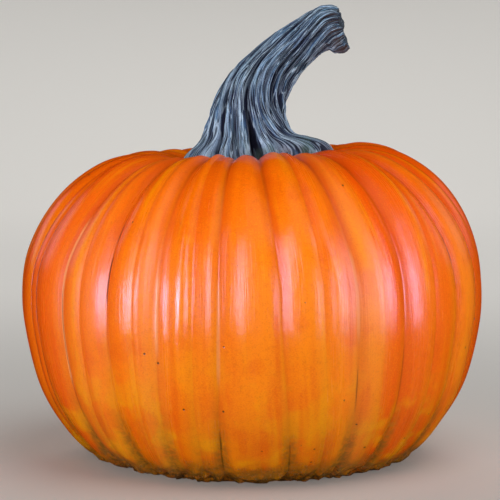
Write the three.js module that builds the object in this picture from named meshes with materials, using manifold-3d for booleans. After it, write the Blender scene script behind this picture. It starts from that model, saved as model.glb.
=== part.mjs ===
// A ribbed orange pumpkin with its dry, twisted stem: a medium carving pumpkin, standing as it grew.
//
// Two pieces, in millimetres, with +Z up and the origin in the middle of the underside:
//   fruit   the whole ribbed fruit, one solid: a turned outline, pressed in along its creases
//   stem    the ridged stem, one solid: it splays onto the ribs, twists, leans to +X and ends in a cut
//
// Directions round the pumpkin are in degrees from the front (-Y), growing towards +X.

import * as THREE from "three";
import { mergeVertices } from "three/addons/utils/BufferGeometryUtils.js";
import Module from "manifold-3d";

// ---- The fruit's driving dimensions ------------------------------------------------------------

const EQUATOR_RADIUS = 153.2; // the fruit is about 303 mm wide
const EQUATOR_HEIGHT = 115; // where it is widest
const SHOULDER_HEIGHT = 208.3; // the highest point of the ribs

// The outline of the rib tops, as [distance from the axis, height], from the blossom end underneath to the
// hollow that the stem stands in. The ribs dip a little below 0 under the fruit and are flattened there.
const RIB_OUTLINE = [
  [0, 11],
  [25, 9],
  [44, 3.5],
  [62, -2.9],
  [88, -3.3],
  [107.6, 4.8],
  [125.4, 21.9],
  [142, 50],
  [151.5, 87],
  [EQUATOR_RADIUS, EQUATOR_HEIGHT],
  [149.1, 142],
  [138.6, 167],
  [122, 188.2],
  [100, 203],
  [77, SHOULDER_HEIGHT],
  [58, 205.3],
  [40, 198.5],
  [20, 194],
  [0, 193],
];
const OUTLINE_ROWS = 26;

// The left shoulder grew lower and slimmer than the right one. Both changes set in between two heights and
// between two distances from the axis.
const SHOULDER_DROP = { by: 5.5, up: [EQUATOR_HEIGHT, 200], out: [0, 60] };
const SHOULDER_SLIM = { by: 1.5, up: [EQUATOR_HEIGHT, 165], out: [60, 135] };

// Every crease between the ribs and every finer fold on them. A crease is pressed in by its depth at the
// equator and fades out over its reach. It leans: it runs to other directions at the shoulder and the foot.
const CREASES = [
  { at: -171, depth: 3.6, reach: 12 },
  { at: -163, depth: 0.9, reach: 4 },
  { at: -155, depth: 4.2, reach: 12 },
  { at: -141, depth: 3.2, reach: 11 },
  { at: -132, depth: 0.9, reach: 4 },
  { at: -125, depth: 4.2, reach: 12 },
  { at: -110, depth: 3.4, reach: 11 },
  { at: -103, depth: 0.8, reach: 4 },
  { at: -96, depth: 4, reach: 12 },
  { at: -82, depth: 3.6, reach: 11, top: 2 },
  { at: -68.3, depth: 1.8, reach: 5, top: 2 },
  { at: -64.5, depth: 2.2, reach: 7, top: 2 },
  { at: -51.7, depth: 3.8, reach: 11, top: 2.5, foot: -1 },
  { at: -44.6, depth: 0.9, reach: 4, top: 1, foot: -1 },
  { at: -36, depth: 3.6, reach: 11, top: 0.5, foot: -1 },
  { at: -28.5, depth: 0.2, reach: 5, top: 0.5, foot: -1 },
  { at: -22.3, depth: 2.8, reach: 11, top: 0.5, foot: -2 },
  { at: -13.5, depth: 0.7, reach: 5, top: -1.5, foot: -1 },
  { at: -7.6, depth: 3, reach: 10, top: -1, foot: -1 },
  { at: 6.7, depth: 3.2, reach: 10, top: -3.5, foot: 4 },
  { at: 16.5, depth: 0.9, reach: 5, top: -3, foot: 4 },
  { at: 25.1, depth: 3.4, reach: 11, top: -3.5, foot: 3 },
  { at: 32, depth: 0.4, reach: 5, top: -3, foot: 3 },
  { at: 38.3, depth: 3.8, reach: 12, top: -2.5, foot: 3 },
  { at: 48.5, depth: 0.9, reach: 5, foot: 3 },
  { at: 58.9, depth: 3.8, reach: 11, top: -6, foot: 3 },
  { at: 73.5, depth: 3.6, reach: 11, top: -8, foot: 3 },
  { at: 84.5, depth: 3, reach: 10, top: -8, foot: 3 },
  { at: 99, depth: 4, reach: 12, top: -5 },
  { at: 107, depth: 0.9, reach: 5, top: -4 },
  { at: 115, depth: 3.4, reach: 11 },
  { at: 129, depth: 4.2, reach: 12 },
  { at: 137, depth: 0.9, reach: 4 },
  { at: 145, depth: 3.4, reach: 11 },
  { at: 160, depth: 4, reach: 12 },
  { at: 174, depth: 3.2, reach: 11 },
];
const LEAN_SPAN = 92; // the height over which a crease runs to its other direction
const LEAN_LIMIT = 1.2; // how far beyond that span it goes on leaning
const LEAN_CURVE = 1.5; // above 1 a crease is straight at the equator and leans more and more beyond it
const CREASE_ROUNDING = 0.1; // of the reach: how round the floor of a crease is
const SHOULDER_DEEPENING = { share: 0.8, up: [130, 204] }; // creases are deeper on the shoulder
const BELLY_EASING = { share: 0.1, up: [0, 80] }; // and a little shallower under the belly
const CREASES_MEET = [5, 80]; // between these distances from the axis the creases run out
const FINEST_COLUMN = 2.1; // degrees between two columns of the surface, about
const FEWEST_COLUMNS = 3; // from one crease to the next

// ---- The stem's driving dimensions --------------------------------------------------------------

// Sections up the stem: where the middle is (x, z), how steeply the stem rises there, its radius, how much
// of the feet's reach shows (splay), how much of their own directions shows (swing), how far the ridges have
// turned, how deep they are beside their full depth (ridged), and how much of the knob's lip shows.
const STEM_SECTIONS = [
  { x: -3, z: 186, rise: 90, radius: 29, splay: 1, swing: 1, turn: 0 },
  { x: -3, z: 198, rise: 90, radius: 29, splay: 1, swing: 1, turn: 0 },
  { x: -3, z: 203, rise: 90, radius: 28.5, splay: 0.93, swing: 0.97, turn: -2 },
  { x: -3, z: 206.5, rise: 90, radius: 28, splay: 0.74, swing: 0.9, turn: -4 },
  { x: -3, z: 209.5, rise: 90, radius: 27.4, splay: 0.45, swing: 0.78, turn: -7 },
  { x: -3, z: 213, rise: 90, radius: 26.8, splay: 0.2, swing: 0.6, turn: -10 },
  { x: -3, z: 218, rise: 90, radius: 25.8, splay: 0.08, swing: 0.38, turn: -15 },
  { x: -2.8, z: 224, rise: 89, radius: 24.7, splay: 0.02, swing: 0.17, turn: -20 },
  { x: -1.9, z: 230, rise: 86, radius: 23.7, swing: 0.05, turn: -26 },
  { x: 0.2, z: 237, rise: 80, radius: 22.2, turn: -34 },
  { x: 3.4, z: 243.5, rise: 71, radius: 20.6, turn: -42 },
  { x: 8, z: 249.8, rise: 62, radius: 18.8, turn: -50 },
  { x: 14, z: 257, rise: 54, radius: 17, turn: -58 },
  { x: 21.4, z: 264.4, rise: 49, radius: 15.6, turn: -62, ridged: 0.9 },
  { x: 29.2, z: 271.2, rise: 42, radius: 14.3, turn: -66, ridged: 0.8 },
  { x: 37.2, z: 277, rise: 36, radius: 13.3, turn: -77, ridged: 0.7 },
  { x: 44.5, z: 281, rise: 30, radius: 13.6, turn: -90, ridged: 0.55, lip: 1 },
  { x: 51, z: 282.9, rise: 22, radius: 14.4, turn: -102, ridged: 0.45, lip: 1 },
  { x: 59.6, z: 283.5, rise: 15, radius: 14.2, turn: -112, ridged: 0.4, lip: 0.75 },
];

// The ridges round the stem: their direction above the feet (at), the direction that each foot stands in
// (base), how far the foot reaches out, how far the skin before it reaches out (web, or in if below 0), and
// how deep the valley before it is beside the others.
const RIDGES = [
  { at: -150, base: -148, foot: 9, web: 2, valley: 1 },
  { at: -116, base: -116, foot: 12, web: 3, valley: 0.5 },
  { at: -84, base: -88, foot: 11, web: 4, valley: 1 },
  { at: -56, base: -66, foot: 16, web: 8, valley: 0.5 },
  { at: -30, base: -46, foot: 15, web: 9, valley: 0.6 },
  { at: -7, base: -21, foot: 11, web: 3, valley: 1.2 },
  { at: 12, base: -5, foot: 9, web: 4, valley: 0.3 },
  { at: 35, base: 27, foot: 4, web: -9, valley: 1.5 },
  { at: 50, base: 60, foot: 21, web: 10, valley: 0.4 },
  { at: 62, base: 82, foot: 27, web: 21, valley: 0.35 },
  { at: 77, base: 96, foot: 20, web: 20, valley: 1.7 },
  { at: 105, base: 113, foot: 15, web: 12, valley: 1.4 },
  { at: 132, base: 134, foot: 9, web: 5, valley: 0.9 },
  { at: 157, base: 157, foot: 8, web: 2, valley: 0.5 },
  { at: 184, base: 184, foot: 13, web: 1, valley: 1.2 },
];
const COLUMNS_PER_RIDGE = 6;
const RIDGE_DEPTH = 0.18; // of the radius, from a ridge's top to the valley beside it
const VALLEY_SHARPNESS = 1.6; // above 1 the ridges are rounder and the valleys narrower
const FOOT_SHARPNESS = 1.8; // above 1 the feet are narrower than the ridges that they come from
const BASE_TILT = 0.09; // the feet follow the lower left shoulder: their rise per mm towards +X
const KNOB_LIP = 3; // how far the knob at the cut end stands out underneath
const CUT_DISH = 2; // how deep the middle of the cut end is sunk
const PIECE_GAP = 0.3; // between the stem and the fruit that it stands on

// ---- Shared helpers -----------------------------------------------------------------------------

const wasm = await Module();
wasm.setup();

const radians = THREE.MathUtils.degToRad;
const { smoothstep, lerp, euclideanModulo } = THREE.MathUtils;

// A closed skin of columns and rows of points. It takes the faces of a lathed surface, and
// place(column, row) gives each of its points. The first and the last row each come together in one point.
function skin(columnCount, rowCount, place) {
  const rows = Array.from({ length: rowCount }, (_, row) => new THREE.Vector2(1, row));
  const geometry = new THREE.LatheGeometry(rows, columnCount);
  const position = geometry.getAttribute("position");
  for (let i = 0; i < position.count; i++) {
    const column = Math.floor(i / rowCount) % columnCount;
    position.setXYZ(i, ...place(column, i % rowCount));
  }
  return geometry;
}

// A geometry as a manifold solid: positions only, shared vertices merged, collapsed faces left out.
function solidOf(geometry) {
  const bare = geometry.clone().deleteAttribute("normal").deleteAttribute("uv");
  const merged = mergeVertices(bare, 1e-4);
  const index = merged.index.array;
  const kept = [];
  for (let i = 0; i < index.length; i += 3) {
    const [a, b, c] = index.slice(i, i + 3);
    if (a !== b && b !== c && c !== a) kept.push(a, b, c);
  }
  return new wasm.Manifold(
    new wasm.Mesh({
      numProp: 3,
      vertProperties: merged.getAttribute("position").array,
      triVerts: new Uint32Array(kept),
    }),
  );
}

// A manifold solid as a geometry.
function geometryOf(solid) {
  const { vertProperties, triVerts } = solid.getMesh();
  const geometry = new THREE.BufferGeometry()
    .setAttribute("position", new THREE.BufferAttribute(vertProperties, 3))
    .setIndex(new THREE.BufferAttribute(triVerts, 1));
  geometry.computeVertexNormals();
  return geometry;
}

// ---- The fruit ----------------------------------------------------------------------------------

// The turned outline as rows of points, each with the outward direction across it.
function outlineRows() {
  const curve = new THREE.SplineCurve(RIB_OUTLINE.map(([out, up]) => new THREE.Vector2(out, up)));
  return Array.from({ length: OUTLINE_ROWS }, (_, row) => {
    const share = row / (OUTLINE_ROWS - 1);
    const point = curve.getPointAt(share);
    const along = curve.getTangentAt(share);
    return { out: Math.max(point.x, 0), up: point.y, outward: new THREE.Vector2(along.y, -along.x) };
  });
}

// The direction that a crease has reached at a height.
function creaseDirection({ at, top = 0, foot = 0 }, up) {
  const run = Math.min(Math.abs(up - EQUATOR_HEIGHT) / LEAN_SPAN, LEAN_LIMIT);
  return at + (up > EQUATOR_HEIGHT ? top : foot) * run ** LEAN_CURVE;
}

// How far the surface is pressed in by all the creases, in a direction and at a point of the outline.
function pressedIn(direction, { out, up }) {
  let depth = 0;
  for (const crease of CREASES) {
    const turn = euclideanModulo(direction - creaseDirection(crease, up) + 180, 360) - 180;
    const away = (radians(turn) * EQUATOR_RADIUS) / crease.reach;
    depth += crease.depth * Math.exp(CREASE_ROUNDING - Math.hypot(away, CREASE_ROUNDING));
  }
  const shoulder = SHOULDER_DEEPENING.share * smoothstep(up, ...SHOULDER_DEEPENING.up);
  const belly = BELLY_EASING.share * (1 - smoothstep(up, ...BELLY_EASING.up));
  return depth * smoothstep(out, ...CREASES_MEET) * (1 + shoulder - belly);
}

// How much of a change to the left shoulder shows in a direction, at a height and a distance from the axis.
function onLeftShoulder(change, direction, up, out) {
  const leftness = (1 - Math.sin(radians(direction))) / 2;
  return change.by * leftness * smoothstep(up, ...change.up) * smoothstep(out, ...change.out);
}

// The point of the fruit's surface in a direction, grown outwards by a margin.
function fruitPoint(direction, row, margin) {
  const depth = pressedIn(direction, row) - margin;
  const pressedOut = row.out - row.outward.x * depth;
  const pressedUp = row.up - row.outward.y * depth;
  const slim = onLeftShoulder(SHOULDER_SLIM, direction, row.up, row.out);
  const drop = onLeftShoulder(SHOULDER_DROP, direction, pressedUp, row.out);
  const out = row.out === 0 ? 0 : Math.max(pressedOut - slim, 0);
  const up = Math.max(pressedUp - drop, 0);
  return [out * Math.sin(radians(direction)), -out * Math.cos(radians(direction)), up];
}

// The columns of the surface: each lies a share of the way from one crease to the next, closer together near
// the creases, so that every crease has a column along its floor.
function creaseColumns() {
  const columns = [];
  CREASES.forEach((crease, i) => {
    const next = i + 1 < CREASES.length ? CREASES[i + 1] : { ...CREASES[0], at: CREASES[0].at + 360 };
    const steps = Math.max(FEWEST_COLUMNS, Math.round((next.at - crease.at) / FINEST_COLUMN));
    for (let step = 0; step < steps; step++) {
      columns.push({ crease, next, share: 0.5 - 0.5 * Math.cos((Math.PI * step) / steps) });
    }
  });
  return columns;
}

function fruitGeometry(margin = 0) {
  const rows = outlineRows();
  const columns = creaseColumns();
  return skin(columns.length, rows.length, (column, row) => {
    const { crease, next, share } = columns[column];
    const { up } = rows[row];
    const direction = lerp(creaseDirection(crease, up), creaseDirection(next, up), share);
    return fruitPoint(direction, rows[row], margin);
  });
}

// ---- The stem -----------------------------------------------------------------------------------

// A point of the stem's raw skin. The share runs from one ridge's valley (0) over its top (0.5) to the next.
function stemPoint(ridge, nextRidge, share, { splay = 0, swing = 0, ridged = 1, lip = 0, ...section }) {
  const ridgeTop = Math.sin(Math.PI * share);
  const above = lerp(ridge.from, nextRidge.from, share);
  const below = lerp(ridge.baseFrom, nextRidge.baseFrom, share);
  const direction = radians(lerp(above, below, swing) + section.turn);
  const toe = lerp(lerp(ridge.web, nextRidge.web, share), ridge.foot, ridgeTop ** FOOT_SHARPNESS);
  const valley = lerp(ridge.valley, nextRidge.valley, share) * (1 - ridgeTop ** (1 / VALLEY_SHARPNESS));
  const underneath = smoothstep(Math.sin(direction), 0.45, 0.95);
  const reach = toe * (toe > 0 ? splay : swing) + KNOB_LIP * lip * underneath;
  const radius = section.radius * (1 - RIDGE_DEPTH * ridged * valley) + reach;
  const right = radius * Math.sin(direction);
  const front = radius * Math.cos(direction);
  const rise = radians(section.rise);
  const tilt = BASE_TILT * right * Math.min(splay * 2, 1);
  return [section.x + right * Math.sin(rise), -front, section.z - right * Math.cos(rise) + tilt];
}

function stemGeometry() {
  const count = RIDGES.length;
  // A ridge's skin starts in the valley before it, halfway from the last ridge.
  const ridges = RIDGES.map((ridge, i) => {
    const before = RIDGES[(i + count - 1) % count];
    const lap = i > 0 ? 0 : 360;
    const from = (before.at - lap + ridge.at) / 2;
    return { ...ridge, from, baseFrom: (before.base - lap + ridge.base) / 2 };
  });
  ridges.push({ ...ridges[0], from: ridges[0].from + 360, baseFrom: ridges[0].baseFrom + 360 });
  const first = STEM_SECTIONS[0];
  const last = STEM_SECTIONS[STEM_SECTIONS.length - 1];
  const rise = radians(last.rise);
  const cutMiddle = [last.x - CUT_DISH * Math.cos(rise), 0, last.z - CUT_DISH * Math.sin(rise)];
  return skin(count * COLUMNS_PER_RIDGE, STEM_SECTIONS.length + 2, (column, row) => {
    if (row === 0) return [first.x, 0, first.z];
    if (row > STEM_SECTIONS.length) return cutMiddle;
    const i = Math.floor(column / COLUMNS_PER_RIDGE);
    const share = (column % COLUMNS_PER_RIDGE) / COLUMNS_PER_RIDGE;
    return stemPoint(ridges[i], ridges[i + 1], share, STEM_SECTIONS[row - 1]);
  });
}

// The stem stands on the ribs: the part of it that would be inside the fruit is cut away, with a small gap.
function standingStem() {
  const raw = solidOf(stemGeometry());
  const cut = raw.subtract(solidOf(fruitGeometry(PIECE_GAP)));
  return cut.decompose().sort((a, b) => b.volume() - a.volume())[0];
}

// ---- The pumpkin --------------------------------------------------------------------------------

function piece(name, solid, finish) {
  const mesh = new THREE.Mesh(geometryOf(solid), new THREE.MeshStandardMaterial(finish));
  mesh.name = name;
  return mesh;
}

const pumpkin = new THREE.Group();
pumpkin.add(piece("fruit", solidOf(fruitGeometry()), { color: 0xf27a14, roughness: 0.32, metalness: 0 }));
pumpkin.add(piece("stem", standingStem(), { color: 0x5a6b80, roughness: 0.8, metalness: 0 }));

export default pumpkin;
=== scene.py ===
# %% [markdown]
# # A ribbed pumpkin with a dry, twisted stem
#
# The real thing grew as one fruit on a vine. Its rind is a waxy skin over some thirty ribs,
# pressed in along creases, and the stem is a corky handle of strands that splay out onto the ribs
# and twist as they rise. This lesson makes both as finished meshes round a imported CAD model,
# which gives their size and place:
#
# 1. the fruit, spun from one outline and then pressed in along its creases,
# 2. the stem, spun from a line and then laid through its sections,
# 3. the rind, the stem's cork and the floor as node materials,
# 4. the lights and the camera.
#
# Lengths in the tables are in millimetres, and `MM` turns them into Blender's metres. Directions
# round the pumpkin are in degrees from the front (-Y), growing towards +X.

import math

import bmesh
import bpy
import numpy as np
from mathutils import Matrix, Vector
from mathutils.bvhtree import BVHTree


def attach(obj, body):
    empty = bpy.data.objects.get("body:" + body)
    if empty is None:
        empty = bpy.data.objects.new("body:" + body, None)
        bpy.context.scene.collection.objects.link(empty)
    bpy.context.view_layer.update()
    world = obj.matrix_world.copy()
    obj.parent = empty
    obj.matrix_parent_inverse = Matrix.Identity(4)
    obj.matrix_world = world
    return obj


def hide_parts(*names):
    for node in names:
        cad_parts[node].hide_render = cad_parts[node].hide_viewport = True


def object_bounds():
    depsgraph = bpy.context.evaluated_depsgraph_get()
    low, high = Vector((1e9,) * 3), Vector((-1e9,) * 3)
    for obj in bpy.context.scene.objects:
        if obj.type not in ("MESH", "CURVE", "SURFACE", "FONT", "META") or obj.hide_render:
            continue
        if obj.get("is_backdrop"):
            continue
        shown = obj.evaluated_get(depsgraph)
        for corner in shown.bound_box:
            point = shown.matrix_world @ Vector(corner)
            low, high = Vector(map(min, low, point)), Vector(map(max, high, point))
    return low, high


MM = 0.001

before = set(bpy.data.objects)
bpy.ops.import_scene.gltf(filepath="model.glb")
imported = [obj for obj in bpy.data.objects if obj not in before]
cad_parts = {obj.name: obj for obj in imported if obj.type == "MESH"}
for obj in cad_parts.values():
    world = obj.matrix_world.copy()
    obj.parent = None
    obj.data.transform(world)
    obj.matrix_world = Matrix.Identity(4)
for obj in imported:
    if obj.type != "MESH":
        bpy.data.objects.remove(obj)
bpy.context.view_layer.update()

# %% [markdown]
# ## The outline of the ribs
#
# A pumpkin is close to a turned shape: every rib's top follows the same outline from the blossom
# end underneath, round the belly, to the hollow that the stem stands in. A sphere squeezed flat
# would miss the square shoulders and the low belly, so a few measured points are joined by a
# smooth curve instead. The ribs dip a little below the floor, where their undersides are
# flattened later.

# %% Smooth curves through a few values
#   how far out from the axis, how far up: mm
RIB_OUTLINE = [
    (0, 11), (25, 9), (44, 3.5), (62, -2.9), (88, -3.3), (107.6, 4.8), (125.4, 21.9), (142, 50),
    (151.5, 87), (153.2, 115), (149.1, 142), (138.6, 167), (122, 188.2), (100, 203), (77, 208.3),
    (58, 205.3), (40, 198.5), (20, 194), (0, 193),
]
EQUATOR_RADIUS, EQUATOR_HEIGHT = 153.2, 115
OUTLINE_POINTS, OUTLINE_ROWS = 4000, 168  # the curve is drawn finely, then kept as this many rows


def through(values, count):
    """A smooth curve through the values, as count places spread evenly over its spans."""
    values = np.asarray(values, float)
    last = len(values) - 1
    place = np.linspace(0, last, count)
    span = np.minimum(place.astype(int), last - 1)
    t = (place - span)[:, None]
    before, a = values[np.maximum(span - 1, 0)], values[span]
    b, after = values[span + 1], values[np.minimum(span + 2, last)]
    bend = (2 * before - 5 * a + 4 * b - after) * t**2 + (3 * a - before - 3 * b + after) * t**3
    return a + ((b - before) * t + bend) / 2


def evenly(points, count):
    """The same curve with its points at equal distances, and the share of the length at each."""
    steps = np.linalg.norm(np.diff(points[:, :2], axis=0), axis=1)
    lengths = np.concatenate([[0], np.cumsum(steps)])
    wanted = np.linspace(0, lengths[-1], count)
    return np.stack([np.interp(wanted, lengths, line) for line in points.T], 1), wanted


outline, arc = evenly(through(RIB_OUTLINE, OUTLINE_POINTS), OUTLINE_ROWS)
row_out, row_up = np.maximum(outline[:, 0], 0), outline[:, 1]
along = np.gradient(outline, axis=0)
along /= np.linalg.norm(along, axis=1)[:, None]
row_outward = np.stack([along[:, 1], -along[:, 0]], 1)
print(f"outline: {OUTLINE_ROWS} points over {arc[-1]:.0f} mm")

# %% [markdown]
# ## The creases
#
# Each crease is where two ribs meet. Real creases aren't evenly spaced: broad ribs carry finer
# folds, and the creases lean as they run to the shoulder and to the foot. A table says where each
# one lies, how deep it is and how far it reaches, and also how it looks: a dark crack or a pale
# corky seam over part of its height, and the tone of the rib that follows it, from red (-1) to
# yellow (1).

# %% The table of creases
#   at: degrees at the equator, depth and reach: mm, top and foot: degrees it leans there,
#   tone: of the next rib, skew: how far its crown is pushed over to its far side, mm,
#   dull: how far the wax is rubbed off that rib, crack and seam: (lowest, highest, how strong)
CREASES = [
    dict(at=-171, depth=3.6, reach=12, tone=-0.1, crack=(40, 150, 0.4)),
    dict(at=-163, depth=0.9, reach=4, tone=0.2),
    dict(at=-155, depth=4.2, reach=12, tone=-0.3, crack=(90, 175, 0.8)),
    dict(at=-141, depth=3.2, reach=11, tone=0.3, seam=(80, 150, 0.5)),
    dict(at=-132, depth=0.9, reach=4, tone=0),
    dict(at=-125, depth=4.2, reach=12, tone=-0.5, crack=(20, 110, 0.5)),
    dict(at=-110, depth=3.4, reach=11, tone=0.4, seam=(90, 170, 0.4)),
    dict(at=-103, depth=0.8, reach=4, tone=0.1),
    dict(at=-96, depth=4, reach=12, tone=-0.4, crack=(60, 160, 0.6)),
    dict(at=-82, depth=3.6, reach=11, top=2, tone=-1, crack=(30, 170, 0.6)),
    dict(at=-68.3, depth=1.8, reach=5, top=2, tone=-0.9, crack=(15, 170, 0.55)),
    dict(at=-64.5, depth=2.2, reach=7, top=2, tone=-0.75, dull=0.3, crack=(15, 170, 0.6)),
    dict(at=-51.7, depth=3.8, reach=11, top=2.5, foot=-1, tone=-0.4, skew=0.15, dull=0.7,
         crack=(20, 125, 0.5), seam=(60, 168, 0.8)),
    dict(at=-44.6, depth=0.9, reach=4, top=1, foot=-1, tone=-0.35, dull=0.7),
    dict(at=-36, depth=3.6, reach=11, top=0.5, foot=-1, tone=-0.45, crack=(116, 168, 0.8)),
    dict(at=-28.5, depth=0.2, reach=5, top=0.5, foot=-1, tone=0.3, skew=-0.7, dull=0.9),
    dict(at=-22.3, depth=2.8, reach=11, top=0.5, foot=-2, tone=-0.25, skew=1.2,
         seam=(86, 134, 0.7)),
    dict(at=-13.5, depth=0.7, reach=5, top=-1.5, foot=-1, tone=0, skew=0.35, dull=0.1),
    dict(at=-7.6, depth=3, reach=10, top=-1, foot=-1, tone=-0.15, skew=-0.2, dull=0.1,
         crack=(8, 36, 0.9), seam=(70, 130, 0.5)),
    dict(at=6.7, depth=3.2, reach=10, top=-3.5, foot=4, tone=0.25, skew=0.2, crack=(6, 26, 0.8)),
    dict(at=16.5, depth=0.9, reach=5, top=-3, foot=4, tone=0.1, skew=-0.4, dull=0.3),
    dict(at=25.1, depth=3.4, reach=11, top=-3.5, foot=3, tone=0.5, dull=0.9,
         crack=(50, 76, 0.5), seam=(95, 150, 0.5)),
    dict(at=32, depth=0.4, reach=5, top=-3, foot=3, tone=-0.8, skew=0.3),
    dict(at=38.3, depth=3.8, reach=12, top=-2.5, foot=3, tone=-0.6, dull=0.3, crack=(40, 90, 0.3)),
    dict(at=48.5, depth=0.9, reach=5, foot=3, tone=-0.6),
    dict(at=58.9, depth=3.8, reach=11, top=-6, foot=3, tone=0.2, dull=0.6, crack=(120, 160, 0.5)),
    dict(at=73.5, depth=3.6, reach=11, top=-8, foot=3, tone=-1, crack=(30, 150, 0.5)),
    dict(at=84.5, depth=3, reach=10, top=-8, foot=3, tone=-0.6, crack=(30, 150, 0.4)),
    dict(at=99, depth=4, reach=12, top=-5, tone=0.2, crack=(100, 170, 0.7)),
    dict(at=107, depth=0.9, reach=5, top=-4, tone=-0.2),
    dict(at=115, depth=3.4, reach=11, tone=-0.5, seam=(80, 160, 0.5)),
    dict(at=129, depth=4.2, reach=12, tone=0.35, crack=(30, 120, 0.6)),
    dict(at=137, depth=0.9, reach=4, tone=0),
    dict(at=145, depth=3.4, reach=11, tone=-0.25, crack=(110, 170, 0.5)),
    dict(at=160, depth=4, reach=12, tone=0.3, seam=(70, 140, 0.5)),
    dict(at=174, depth=3.2, reach=11, tone=0.1, crack=(20, 90, 0.5)),
]
print(len(CREASES), "creases and folds")

# %% [markdown]
# A crease is sharp at its bottom and dies away into the ribs on both sides, like the fold between
# two cushions. A bell curve would round it and a straight cut would square it, so the depth falls
# off exponentially from a bottom that is only just rounded. Creases are deepest at the shoulder,
# a little shallower under the belly, and fade out towards both ends of the axis.

# %% How a crease leans, and how far the surface is pressed in
LEAN_SPAN, LEAN_LIMIT, LEAN_CURVE = 92, 1.2, 1.5  # mm from the equator, share, how late it sets in
CREASE_ROUNDING = 0.1
SHOULDER, SHOULDER_DEEPER = (130, 204), 0.8  # heights in mm, share of the depth
BELLY, BELLY_SHALLOWER = (0, 80), 0.1
AXIS_FADE = (5, 80)  # mm from the axis


def smoothstep(value, low, high):
    """0 below low, 1 above high, and a soft step in between."""
    share = np.clip((value - low) / (high - low), 0, 1)
    return share * share * (3 - 2 * share)


def crease_direction(crease, up):
    """The direction that a crease has reached at each height."""
    run = np.minimum(np.abs(up - EQUATOR_HEIGHT) / LEAN_SPAN, LEAN_LIMIT) ** LEAN_CURVE
    lean = np.where(up > EQUATOR_HEIGHT, crease.get("top", 0), crease.get("foot", 0))
    return crease["at"] + lean * run


def pressed_in(direction, out, up):
    """How far all the creases together press the surface in, in mm."""
    depth = np.zeros_like(direction)
    for crease in CREASES:
        turn = (direction - crease_direction(crease, up) + 180) % 360 - 180
        away = np.radians(turn) * EQUATOR_RADIUS / crease["reach"]
        depth += crease["depth"] * np.exp(CREASE_ROUNDING - np.hypot(away, CREASE_ROUNDING))
    deeper = 1 + SHOULDER_DEEPER * smoothstep(up, *SHOULDER)
    deeper -= BELLY_SHALLOWER * (1 - smoothstep(up, *BELLY))
    return depth * smoothstep(out, *AXIS_FADE) * deeper


on_shoulder = pressed_in(np.array([129.0]), 99.5, np.array([202.0]))
print(f"a deep crease at the shoulder: {on_shoulder[0]:.1f} mm")

# %% [markdown]
# ## The fruit's skin
#
# The outline is a chain of edges, and `spin` turns it round the axis into a closed skin in one
# step: it could also be lofted or sculpted, but a spun skin has neat rows and columns that can
# then be moved. The columns are crowded towards the creases, because that is where the shape
# changes fastest. A number kept on each vertex says which row it came from, and its angle says
# which column it is.

# %% Where the columns lie between the creases
COLUMNS_PER_DEGREE, FEWEST_COLUMNS = 1.56, 7
CROWDING = 0.72  # 0 spreads the columns evenly, 1 packs them hardest against the creases

column_crease, column_share = [], []
for i, crease in enumerate(CREASES):
    width = (CREASES[(i + 1) % len(CREASES)]["at"] - crease["at"]) % 360
    steps = max(FEWEST_COLUMNS, round(width * COLUMNS_PER_DEGREE))
    even = np.arange(steps) / steps
    column_share.extend(even + CROWDING * (0.5 - 0.5 * np.cos(np.pi * even) - even))
    column_crease.extend([i] * steps)
column_crease, column_share = np.array(column_crease), np.array(column_share)
COLUMNS = len(column_share)
print(f"{COLUMNS} columns, {2 * COLUMNS * (OUTLINE_ROWS - 2)} triangles")

# %% Spin the outline
WELD = 1e-6  # metres: what lies closer than this on the axis becomes one vertex


def spun(points, steps):
    """A closed skin: (out, up) points in mm spun round the axis, with each vertex's row kept."""
    shell = bmesh.new()
    row_of = shell.verts.layers.float.new("row")
    chain = [shell.verts.new((out * MM, 0, up * MM)) for out, up in points]
    for row, vertex in enumerate(chain):
        vertex[row_of] = row
    edges = [shell.edges.new(pair) for pair in zip(chain, chain[1:])]
    bmesh.ops.spin(
        shell, geom=chain + edges, cent=(0, 0, 0), axis=(0, 0, 1), angle=math.tau, steps=steps,
        use_merge=True,
    )
    ends = [v for v in shell.verts if v[row_of] in (0, len(points) - 1)]
    bmesh.ops.remove_doubles(shell, verts=ends, dist=WELD)
    bmesh.ops.recalc_face_normals(shell, faces=shell.faces)
    for face in shell.faces:
        face.smooth = True
    return shell


def as_piece(shell, name):
    """The bmesh as an object in the scene."""
    mesh = bpy.data.meshes.new(name)
    shell.to_mesh(mesh)
    shell.free()
    piece = bpy.data.objects.new(name, mesh)
    bpy.context.scene.collection.objects.link(piece)
    return piece


def rows_and_columns(mesh, columns):
    """The row and the column of each vertex of a spun skin."""
    count = len(mesh.vertices)
    row, place = np.empty(count, np.float32), np.empty(count * 3, np.float32)
    mesh.attributes["row"].data.foreach_get("value", row)
    mesh.vertices.foreach_get("co", place)
    place = place.reshape(-1, 3)
    turned = np.arctan2(place[:, 1], place[:, 0]) / math.tau * columns
    return np.rint(row).astype(int), np.rint(turned).astype(int) % columns


fruit = as_piece(spun(np.stack([row_out, row_up], 1), COLUMNS), "pumpkin_fruit")
row, column = rows_and_columns(fruit.data, COLUMNS)
print(f"spun skin: {len(fruit.data.vertices)} vertices, {len(fruit.data.polygons)} faces")

# %% [markdown]
# ## Pressing in the ribs
#
# Every vertex is now moved to its place: its column runs along the creases on either side of it,
# and it is pressed in across the outline by as much as the creases ask. On top of that come the
# small things that make a grown fruit: a lower left shoulder, ribs whose crowns lean to one side,
# slight dents, ripples along the ribs, lumps of soil at the foot, and a blossom scar underneath.
# A little seeded noise on a coarse grid gives the dents, ripples and lumps, the same in every
# run.

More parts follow.
